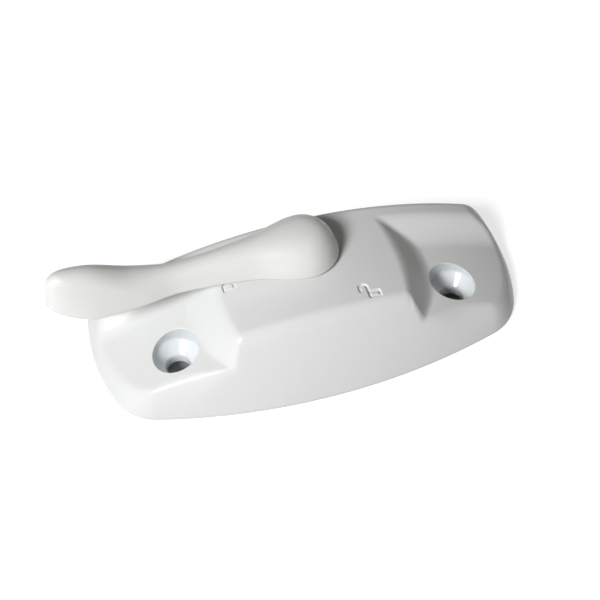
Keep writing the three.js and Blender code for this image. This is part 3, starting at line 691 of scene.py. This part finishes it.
def add_inside(parts):
    """The hollow, bosses and bores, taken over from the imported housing."""
    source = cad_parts["housing"].data.copy()
    source.set_sharp_from_angle(angle=INSIDE_SHARP_ANGLE)
    place = np.array([tuple(v.co) for v in source.vertices]) / MM - SHIFT
    points, faces, normals = [], [], []
    for polygon in source.polygons:
        corners = place[list(polygon.vertices)]
        if stands_outside(corners.mean(0), polygon.normal):
            continue
        base = len(points)
        points.extend(corners)
        faces.append(tuple(range(base, base + len(corners))))
        normals.append([tuple(source.corner_normals[i].vector) for i in polygon.loop_indices])
    parts.add(points, faces, normals)
    bpy.data.meshes.remove(source)


def housing_object():
    """The fine casting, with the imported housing's own hollow inside it."""
    parts = MeshParts()
    add_skin(parts)
    add_side_band(parts)
    add_rear_face(parts)
    for x in SCREW_HOLES_X:
        add_screw_hole(parts, x)
    add_inside(parts)
    return parts.build("housing_casting")


def station_value(column, distance):
    """A smooth curve through one column of the lever's stations."""
    at = np.array([s[0] for s in LEVER_STATIONS])
    value = np.array([s[column] for s in LEVER_STATIONS])
    slope = np.zeros(len(at))
    slope[1:-1] = (value[2:] - value[:-2]) / (at[2:] - at[:-2])
    place = min(max(distance, 0.0), LEVER_REACH)
    i = min(max(int(np.searchsorted(at, place)) - 1, 0), len(at) - 2)
    span = at[i + 1] - at[i]
    t = (place - at[i]) / span
    smooth = value[i] + (value[i + 1] - value[i]) * t * t * (3 - 2 * t)
    return smooth + span * (t * (1 - t) ** 2 * slope[i] + t * t * (t - 1) * slope[i + 1])


def half_section(distance):
    """One side of the lever from its underside round the bottom edge, up the side and to the ridge."""
    half = station_value(WIDTH_COLUMN, distance)
    height = station_value(HEIGHT_COLUMN, distance)
    lean = LEVER_DRAFT
    edge = LEVER_EDGE_RADIUS
    radius = (half * math.cos(lean) - height * math.sin(lean)) / (1 - math.sin(lean))
    centre = height - radius
    edge_y = half - edge * math.tan(lean) - edge / math.cos(lean)
    points = []
    for angle in np.linspace(-math.pi / 2, lean, EDGE_POINTS):
        points.append((edge_y + edge * math.cos(angle), edge + edge * math.sin(angle)))
    low = points[-1]
    high = (radius * math.cos(lean), centre + radius * math.sin(lean))
    for share in SIDE_SHARES:
        points.append((low[0] + (high[0] - low[0]) * share, low[1] + (high[1] - low[1]) * share))
    fullness = HUB_FULLNESS * (1 - smoothstep(distance, 0, SHOULDER))
    for share in np.linspace(0, 1, ROUND_POINTS):
        angle = lean + (math.pi / 2 - lean) * share
        full = radius * (1 + fullness * math.sin(math.pi * share) ** 2)
        points.append((full * math.cos(angle), centre + full * math.sin(angle)))
    points = np.array(points)
    points[-1, 0] = 0.0
    return points, half, height


def tip_distance(share):
    """How far from the pivot each point of a section lies, that share of the way into the tip."""
    points, half, height = half_section(LEVER_REACH - TIP_LENGTH * (1 - share))
    rise = np.clip(points[:, 1] / height, 0, 1)
    over = np.clip(points[:, 1] - (height - TIP_ROUND), 0, TIP_ROUND)
    setback = TIP_LEAN * rise + TIP_ROUND - np.sqrt(TIP_ROUND ** 2 - over ** 2)
    return LEVER_REACH - setback - TIP_LENGTH * (points[:, 0] / half) * (1 - share)


def lever_row(distances, share):
    """Points of one side of the lever, narrowed and lifted by their share of the way into the tip."""
    lift = TIP_RISE * share ** TIP_RISE_POWER
    narrow = (1 - (TIP_CLOSING * share) ** TIP_BLUNTNESS) ** (1 / TIP_BLUNTNESS)
    row = []
    for k, distance in enumerate(distances):
        points, _, height = half_section(distance)
        width, rise = points[k]
        lifted = rise + lift * (1 - min(1.0, rise / height))
        row.append((-distance, width * narrow, LEVER_SEAT + lifted))
    return np.array(row)


def lever_rows():
    """Rows from the hub's middle along the neck, along the grip and into the tip."""
    straight = LEVER_REACH - 2 * TIP_LENGTH
    count = len(half_section(0.0)[0])
    tip_start = tip_distance(0.0)
    rows = [lever_row(np.full(count, d), 0.0) for d in np.linspace(0, straight, NECK_ROWS)]
    for run in np.linspace(0, 1, GRIP_ROWS)[1:]:
        rows.append(lever_row(straight + (tip_start - straight) * run, 0.0))
    for share in np.sin(np.linspace(0, math.pi / 2, TIP_ROWS)[1:]):
        rows.append(lever_row(tip_distance(share), share))
    return rows


def hub_faces(size, ridge, base):
    """Faces of the half-round rear of the hub, turned about the pivot, and of its flat underside."""
    def at(j, k):
        if k == ridge:
            return ridge
        if j == 0:
            return k
        return size - 1 - k if j == HUB_STEPS else base + (j - 1) * ridge + k

    faces = []
    for j in range(HUB_STEPS):
        for k in range(ridge):
            corners = [at(j, k + 1), at(j, k), at(j + 1, k), at(j + 1, k + 1)]
            faces.append(tuple(dict.fromkeys(corners)))
        if j:
            faces.append((at(0, 0), at(j + 1, 0), at(j, 0)))
    return faces


def lever_object():
    """The lever: rows of both sides along it, a closed tip and the round rear of the hub."""
    rows = lever_rows()
    ridge = len(rows[0]) - 1
    size = 2 * ridge + 1
    points, faces = [], []
    for row in rows:
        front = row * np.array([1, -1, 1])
        points.append(np.concatenate([front, row[::-1][1:]]))
    for i in range(len(rows) - 1):
        for k in range(size):
            a, b = i * size + k, i * size + (k + 1) % size
            faces.append((a, b, b + size, a + size))
    last = (len(rows) - 1) * size
    for k in range(ridge):
        low, high = last + k, last + size - 1 - k
        faces.append((low, low + 1, high - 1, high) if low + 1 < high - 1 else (low, low + 1, high))
    width, rise = rows[0][:-1, 1], rows[0][:-1, 2]
    for angle in np.linspace(0, math.pi, HUB_STEPS + 1)[1:-1]:
        points.append(np.column_stack([width * math.sin(angle), -width * math.cos(angle), rise]))
    faces += hub_faces(size, ridge, len(rows) * size)
    points = np.concatenate(points) + np.array([0, PIVOT_Y, 0])
    mesh = bpy.data.meshes.new("lever_handle")
    mesh.from_pydata([tuple(p) for p in to_part(points)], [], faces)
    shade_smooth(mesh)
    mesh.update()
    return linked("lever_handle", mesh)


def material(name, colour, other, roughness, metallic=0.0, coat=0.0, bump=0.02, glow=0.0, shine=0.5):
    """A shader with cloudy colour, uneven gloss and a fine uneven surface."""
    made = bpy.data.materials.new(name)
    made.use_nodes = True
    nodes, links = made.node_tree.nodes, made.node_tree.links
    shader = nodes["Principled BSDF"]
    shader.inputs["Subsurface Weight"].default_value = glow
    shader.inputs["Subsurface Radius"].default_value = GLOW_SPREAD
    shader.inputs["Subsurface Scale"].default_value = GLOW_DEPTH
    shader.inputs["Metallic"].default_value = metallic
    shader.inputs["Specular IOR Level"].default_value = shine
    shader.inputs["Coat Weight"].default_value = coat
    shader.inputs["Coat Roughness"].default_value = COAT_ROUGHNESS
    place = nodes.new("ShaderNodeTexCoord")
    cloud = nodes.new("ShaderNodeTexNoise")
    cloud.inputs["Scale"].default_value = CLOUD_SCALE
    cloud.inputs["Detail"].default_value = CLOUD_DETAIL
    links.new(place.outputs["Object"], cloud.inputs["Vector"])
    ramp = nodes.new("ShaderNodeValToRGB")
    ramp.color_ramp.elements[0].position = CLOUD_LOW
    ramp.color_ramp.elements[1].position = CLOUD_HIGH
    ramp.color_ramp.elements[0].color = (*colour, 1)
    ramp.color_ramp.elements[1].color = (*other, 1)
    links.new(cloud.outputs["Fac"], ramp.inputs["Fac"])
    links.new(ramp.outputs["Color"], shader.inputs["Base Color"])
    gloss = nodes.new("ShaderNodeMapRange")
    gloss.inputs["To Min"].default_value = roughness[0]
    gloss.inputs["To Max"].default_value = roughness[1]
    links.new(cloud.outputs["Fac"], gloss.inputs["Value"])
    links.new(gloss.outputs["Result"], shader.inputs["Roughness"])
    fine = nodes.new("ShaderNodeTexNoise")
    fine.inputs["Scale"].default_value = PEEL_SCALE
    fine.inputs["Detail"].default_value = PEEL_DETAIL
    links.new(place.outputs["Object"], fine.inputs["Vector"])
    uneven = nodes.new("ShaderNodeBump")
    uneven.inputs["Strength"].default_value = bump
    uneven.inputs["Distance"].default_value = PEEL_HEIGHT
    links.new(fine.outputs["Fac"], uneven.inputs["Height"])
    links.new(uneven.outputs["Normal"], shader.inputs["Normal"])
    return made


PAINT = material(
    "white_gloss_paint", (0.774, 0.786, 0.781), (0.782, 0.794, 0.789), (0.2, 0.26), shine=0.1)
# Bluish, slightly darker paint in the countersinks: its colour is a painted reflection of the sky
SINK_SKY_REFLECTION_PAINT = material(
    "sink_paint_with_painted_sky_reflection", (0.74, 0.773, 0.793), (0.75, 0.782, 0.802), (0.14, 0.2), coat=0.15)
LEVER_WHITE = material(
    "warm_white_gloss", (0.796, 0.796, 0.778), (0.806, 0.806, 0.788), (0.29, 0.36),
    coat=0.05, glow=0.5, shine=0.3)
ACETAL = material(
    "natural_acetal", (0.62, 0.59, 0.52), (0.70, 0.67, 0.60), (0.42, 0.55), bump=0.05)
ZINC = material(
    "as_cast_zinc", (0.34, 0.35, 0.36), (0.48, 0.49, 0.50), (0.32, 0.5), metallic=1.0, bump=0.12)
STEEL = material(
    "plated_steel", (0.50, 0.51, 0.53), (0.60, 0.61, 0.62), (0.2, 0.34), metallic=1.0, bump=0.05)

# The two pieces that the photograph shows
housing = housing_object()
housing.data.materials.append(PAINT)
housing.data.materials.append(SINK_SKY_REFLECTION_PAINT)
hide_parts("housing")
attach(housing, "housing")

lever = lever_object()
lever.data.materials.append(LEVER_WHITE)
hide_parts("lever")
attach(lever, "lever")


def eased(node, body, finish, width):
    """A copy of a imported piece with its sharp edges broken, as pressed and cast pieces have them."""
    obj = linked(node + "_eased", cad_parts[node].data.copy())
    obj.data.materials.clear()
    obj.data.materials.append(finish)
    edge = obj.modifiers.new("broken_edges", "BEVEL")
    edge.width = width * MM
    edge.segments = BREAK_SEGMENTS
    edge.limit_method = "ANGLE"
    edge.angle_limit = BREAK_ANGLE
    edge.harden_normals = True
    shade_smooth(obj.data)
    obj.data.set_sharp_from_angle(angle=BREAK_ANGLE)
    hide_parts(node)
    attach(obj, body)


# The pieces inside, each with the width of its broken edges
eased("spindle", "lever", ZINC, 0.15)
eased("detent_collar", "lever", ZINC, 0.15)
eased("cam", "lever", ZINC, 0.3)
eased("pivot_bush", "housing", ACETAL, 0.1)
eased("thrust_washer", "housing", ACETAL, 0.06)
eased("detent_spring", "housing", STEEL, 0.06)
eased("retaining_washer", "lever", STEEL, 0.1)
eased("lock_washer", "lever", STEEL, 0.08)
eased("retaining_screw", "lever", STEEL, 0.1)


def add_camera():
    """The photograph's camera: from the room, a little to the left and from above."""
    target = Vector(to_part(TARGET).tolist())
    level = math.cos(ELEVATION)
    back = Vector((math.sin(AZIMUTH) * level, -math.cos(AZIMUTH) * level, math.sin(ELEVATION)))
    right = (-back).cross(Vector(UP)).normalized()
    up = right.cross(-back)
    turn = Matrix((right, up, back)).transposed() @ Matrix.Rotation(ROLL, 3, "Z")
    lens_pixels = LENS / SENSOR_WIDTH * PICTURE_PIXELS
    aim = Vector((TARGET_PIXELS[0] / lens_pixels, TARGET_PIXELS[1] / lens_pixels, -1.0))
    swing = Vector((0, 0, -1)).rotation_difference(aim).to_matrix()
    camera = linked("camera", bpy.data.cameras.new("camera"))
    camera.data.lens = LENS
    camera.data.sensor_width = SENSOR_WIDTH
    camera.data.clip_start = CLIP_START * MM
    place = Matrix.Translation(target + back * CAMERA_DISTANCE * MM)
    camera.matrix_world = place @ (turn @ swing.inverted()).to_4x4()
    bpy.context.scene.camera = camera


def add_key_light():
    """One soft square lamp from the upper left."""
    lamp = bpy.data.lights.new("key", "AREA")
    lamp.size = KEY_SIZE
    lamp.energy = KEY_POWER
    key = linked("key", lamp)
    key.location = KEY_PLACE
    towards = Vector(KEY_TARGET) - Vector(KEY_PLACE)
    key.rotation_euler = towards.to_track_quat("-Z", "Y").to_euler()


def floor_finish():
    """Pale grey that shows white to the camera and in reflections; the glow is left out in an ellipse
    under the part, which paints shade there.
    """
    pale = bpy.data.materials.new("pale_floor")
    pale.use_nodes = True
    nodes, links = pale.node_tree.nodes, pale.node_tree.links
    shader = nodes["Principled BSDF"]
    shader.inputs["Base Color"].default_value = (FLOOR_GREY, FLOOR_GREY, FLOOR_GREY, 1)
    shader.inputs["Roughness"].default_value = FLOOR_ROUGHNESS
    shader.inputs["Emission Color"].default_value = (1, 1, 1, 1)
    ray = nodes.new("ShaderNodeLightPath")
    shown = nodes.new("ShaderNodeMath")
    shown.operation = "MAXIMUM"
    links.new(ray.outputs["Is Camera Ray"], shown.inputs[0])
    links.new(ray.outputs["Is Glossy Ray"], shown.inputs[1])
    place = nodes.new("ShaderNodeTexCoord")
    under = nodes.new("ShaderNodeVectorMath")
    under.operation = "MULTIPLY"
    under.inputs[1].default_value = (1 / (PAINTED_SHADE_LENGTH * MM), 1 / (PAINTED_SHADE_DEPTH * MM), 0)
    links.new(place.outputs["Object"], under.inputs[0])
    away = nodes.new("ShaderNodeVectorMath")
    away.operation = "LENGTH"
    links.new(under.outputs["Vector"], away.inputs[0])
    # No glow inside the ellipse under the part: painted shade there
    glow = nodes.new("ShaderNodeMapRange")
    glow.inputs["From Min"].default_value = PAINTED_SHADE_EDGE_SHARE
    glow.inputs["To Max"].default_value = FLOOR_GLOW
    links.new(away.outputs["Value"], glow.inputs["Value"])
    shine = nodes.new("ShaderNodeMath")
    shine.operation = "MULTIPLY"
    links.new(shown.outputs["Value"], shine.inputs[0])
    links.new(glow.outputs["Result"], shine.inputs[1])
    links.new(shine.outputs["Value"], shader.inputs["Emission Strength"])
    return pale


def add_floor():
    """A plain floor just under the part, centred under the housing."""
    half = FLOOR_HALF_SIZE
    mesh = bpy.data.meshes.new("floor")
    mesh.from_pydata([(-half, -half, 0), (half, -half, 0), (half, half, 0), (-half, half, 0)], [],
                     [(0, 1, 2, 3)])
    mesh.materials.append(floor_finish())
    floor = linked("floor", mesh)
    floor.location = to_part([0, (REAR_REACH - FRONT_REACH) / 2, -FLOOR_GAP]).tolist()


def set_surround():
    """A weak, slightly warm fill from all sides."""
    world = bpy.data.worlds.new("studio")
    world.use_nodes = True
    background = world.node_tree.nodes["Background"]
    background.inputs["Color"].default_value = (*FILL_COLOUR, 1)
    background.inputs["Strength"].default_value = FILL_STRENGTH
    bpy.context.scene.world = world


add_camera()
add_key_light()
add_floor()
set_surround()
bpy.context.scene.view_settings.view_transform = "Standard"
